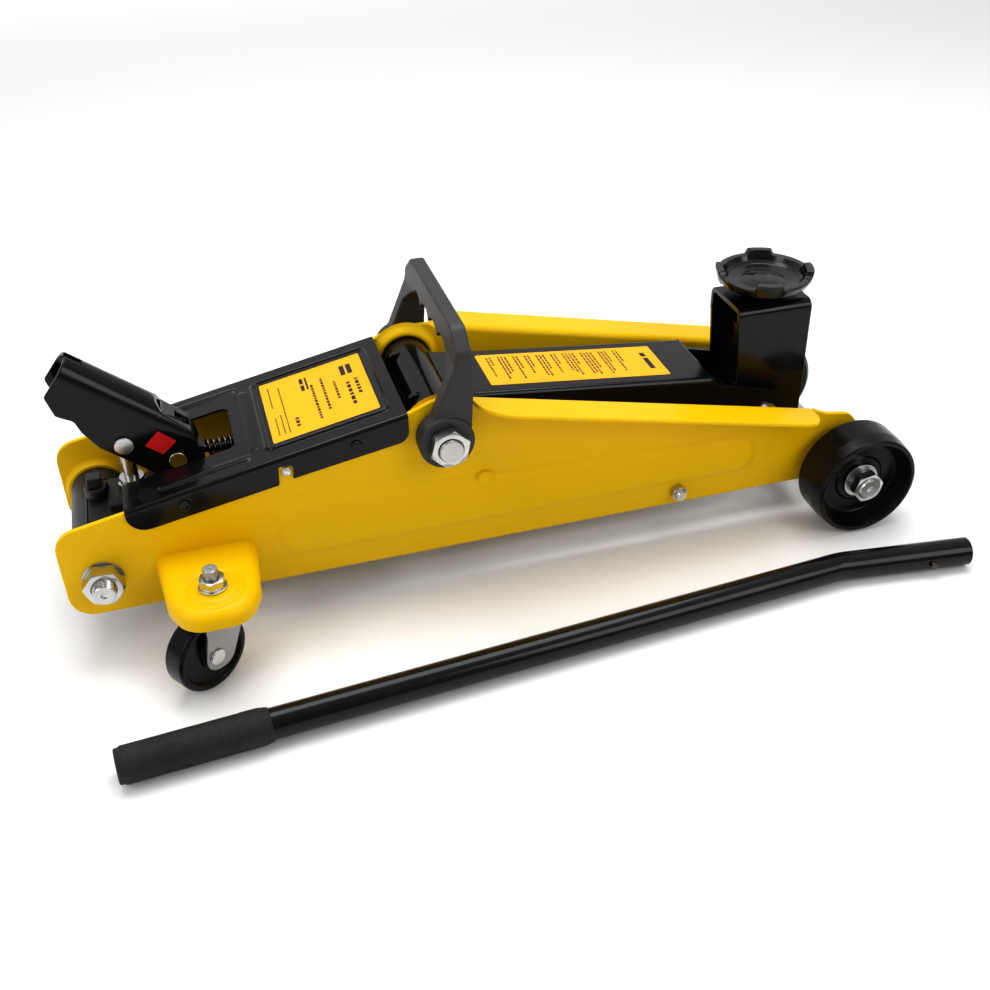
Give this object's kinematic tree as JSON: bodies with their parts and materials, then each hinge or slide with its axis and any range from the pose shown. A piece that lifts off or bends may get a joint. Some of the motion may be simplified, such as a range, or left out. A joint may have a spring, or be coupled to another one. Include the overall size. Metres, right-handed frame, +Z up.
{
  "type": "hydraulic trolley jack",
  "caption": "Hydraulic trolley jack with a hinged lift arm, upright toothed saddle, carry handle, front wheels, swivel casters and a loose cranked pump handle.",
  "frame": {"origin": "floor level under the middle of the box around the jack and its loose handle", "axes": "+X from the handle socket to the saddle end, +Y to the jack's left, +Z up"},
  "size_m": [0.6468, 0.3378, 0.21],
  "materials": {
    "yellow_paint": "semi-gloss yellow enamel",
    "black_paint": "gloss black enamel",
    "black_casting": "rough casting painted black",
    "zinc": "bright zinc plating",
    "bright_steel": "ground steel",
    "wheel_black": "hard moulded black, satin",
    "handle_plastic": "grained black moulding",
    "label_yellow": "printed film",
    "label_ink": "printed ink",
    "label_red": "printed film",
    "grip_rubber": "knurled soft rubber"
  },
  "bodies": {
    "chassis": {"side_plate_left": "yellow_paint", "side_plate_right": "yellow_paint", "caster_bracket_left": "yellow_paint", "caster_bracket_right": "yellow_paint", "rear_cover": "black_paint", "cover_bolts": "black_paint", "cover_screws": "zinc", "power_unit": "black_casting", "ram_barrel": "black_paint", "barrel_gland": "black_paint", "pump_cylinder": "zinc", "filler_plug": "black_casting", "rear_bolts": "zinc", "rear_washers": "zinc", "rear_nuts": "zinc", "arm_shaft": "bright_steel", "arm_shaft_nuts": "zinc", "front_axle": "zinc", "axle_washers": "zinc", "axle_nuts": "zinc", "tie_rod": "zinc", "tie_rod_nuts": "zinc", "link_anchor_pins": "yellow_paint", "socket_hinge_pin": "zinc", "release_spring": "zinc"},
    "lift_arm": {"lift_arm": "black_paint", "arm_tube": "black_paint", "ram_pin": "bright_steel", "saddle_hinge_pin": "bright_steel", "saddle_pin_clips": "zinc"},
    "saddle_bracket": {"saddle_bracket": "black_paint", "link_pin": "bright_steel"},
    "saddle": {"saddle": "black_casting", "saddle_nut": "zinc"},
    "link_rods": {"link_rods": "black_paint"},
    "ram": {"ram_rod": "bright_steel", "ram_head": "black_paint"},
    "handle_socket": {"handle_socket": "black_paint", "plunger_pin": "zinc"},
    "pump_plunger": {"pump_plunger": "bright_steel"},
    "release": {"release_coupling": "black_paint"},
    "carry_handle": {"carry_handle": "handle_plastic"},
    "front_wheel_left": {"front_wheel_left": "wheel_black"},
    "front_wheel_right": {"front_wheel_right": "wheel_black"},
    "caster_left": {"caster_fork_left": "zinc", "caster_nut_left": "zinc", "caster_axle_left": "zinc"},
    "caster_right": {"caster_fork_right": "zinc", "caster_nut_right": "zinc", "caster_axle_right": "zinc"},
    "caster_wheel_left": {"caster_wheel_left": "wheel_black"},
    "caster_wheel_right": {"caster_wheel_right": "wheel_black"},
    "pump_handle": {"handle_tube": "black_paint", "handle_grip": "grip_rubber"},
    "detent_pin": {"detent_pin": "zinc"}
  },
  "joints": [
    {"name": "lift_arm_hinge", "type": "hinge", "parent": "chassis", "child": "lift_arm", "pos_m": [-0.057, 0.035, 0.132], "axis": [0, -1, 0], "range_deg": [0, 78]},
    {"name": "saddle_bracket_hinge", "type": "hinge", "parent": "lift_arm", "child": "saddle_bracket", "pos_m": [0.208, 0.035, 0.08], "axis": [0, -1, 0], "range_deg": [-78, 0]},
    {"name": "saddle_spin", "type": "hinge", "parent": "saddle_bracket", "child": "saddle", "pos_m": [0.213, 0.035, 0.169], "axis": [0, 0, 1], "continuous": true},
    {"name": "link_hinge", "type": "hinge", "parent": "chassis", "child": "link_rods", "pos_m": [-0.027, 0.035, 0.086], "axis": [0, -1, 0], "range_deg": [0, 78]},
    {"name": "ram_slide", "type": "slide", "parent": "chassis", "child": "ram", "axis": [1, 0, 0], "range_m": [0, 0.0757]},
    {"name": "carry_handle_hinge", "type": "hinge", "parent": "chassis", "child": "carry_handle", "pos_m": [-0.057, 0.035, 0.132], "axis": [0, -1, 0], "range_deg": [0, 31.3]},
    {"name": "socket_hinge", "type": "hinge", "parent": "chassis", "child": "handle_socket", "pos_m": [-0.2355, 0.035, 0.1165], "axis": [0, 1, 0], "range_deg": [-25, 15]},
    {"name": "plunger_slide", "type": "slide", "parent": "chassis", "child": "pump_plunger", "axis": [0, 0, 1], "range_m": [-0.015, 0.009]},
    {"name": "release_turn", "type": "hinge", "parent": "chassis", "child": "release", "pos_m": [-0.224, 0.035, 0.113], "axis": [1, 0, 0], "range_deg": [0, 90]},
    {"name": "front_wheel_left_spin", "type": "hinge", "parent": "chassis", "child": "front_wheel_left", "pos_m": [0.267, 0.118, 0.042], "axis": [0, 1, 0], "continuous": true},
    {"name": "front_wheel_right_spin", "type": "hinge", "parent": "chassis", "child": "front_wheel_right", "pos_m": [0.267, -0.048, 0.042], "axis": [0, 1, 0], "continuous": true},
    {"name": "caster_left_swivel", "type": "hinge", "parent": "chassis", "child": "caster_left", "pos_m": [-0.227, 0.142, 0.07], "axis": [0, 0, 1], "continuous": true},
    {"name": "caster_right_swivel", "type": "hinge", "parent": "chassis", "child": "caster_right", "pos_m": [-0.227, -0.072, 0.07], "axis": [0, 0, 1], "continuous": true},
    {"name": "caster_left_roll", "type": "hinge", "parent": "caster_left", "child": "caster_wheel_left", "pos_m": [-0.2411, 0.13687, 0.028], "axis": [-0.342, 0.9397, 0], "continuous": true},
    {"name": "caster_right_roll", "type": "hinge", "parent": "caster_right", "child": "caster_wheel_right", "pos_m": [-0.23929, -0.0806, 0.028], "axis": [0.5736, -0.8191, 0], "continuous": true},
    {"name": "pump_handle_lift", "type": "slide", "parent": "chassis", "child": "pump_handle", "axis": [0, 0, 1], "range_m": [0, 0.3]},
    {"name": "detent_press", "type": "slide", "parent": "pump_handle", "child": "detent_pin", "axis": [0.1167, 0.9932, -0.0008], "range_m": [0, 0.003], "stiffness_N_per_m": 400, "springref_m": -0.002}
  ],
  "couplings": [
    {"joint": "saddle_bracket_hinge", "follows": "lift_arm_hinge", "ratio": -1},
    {"joint": "link_hinge", "follows": "lift_arm_hinge", "ratio": 1},
    {"joint": "ram_slide", "follows": "lift_arm_hinge", "m_per_rad": 0.0555},
    {"joint": "carry_handle_hinge", "follows": "lift_arm_hinge", "ratio": 0.4},
    {"joint": "plunger_slide", "follows": "socket_hinge", "m_per_rad": 0.0332}
  ]
}
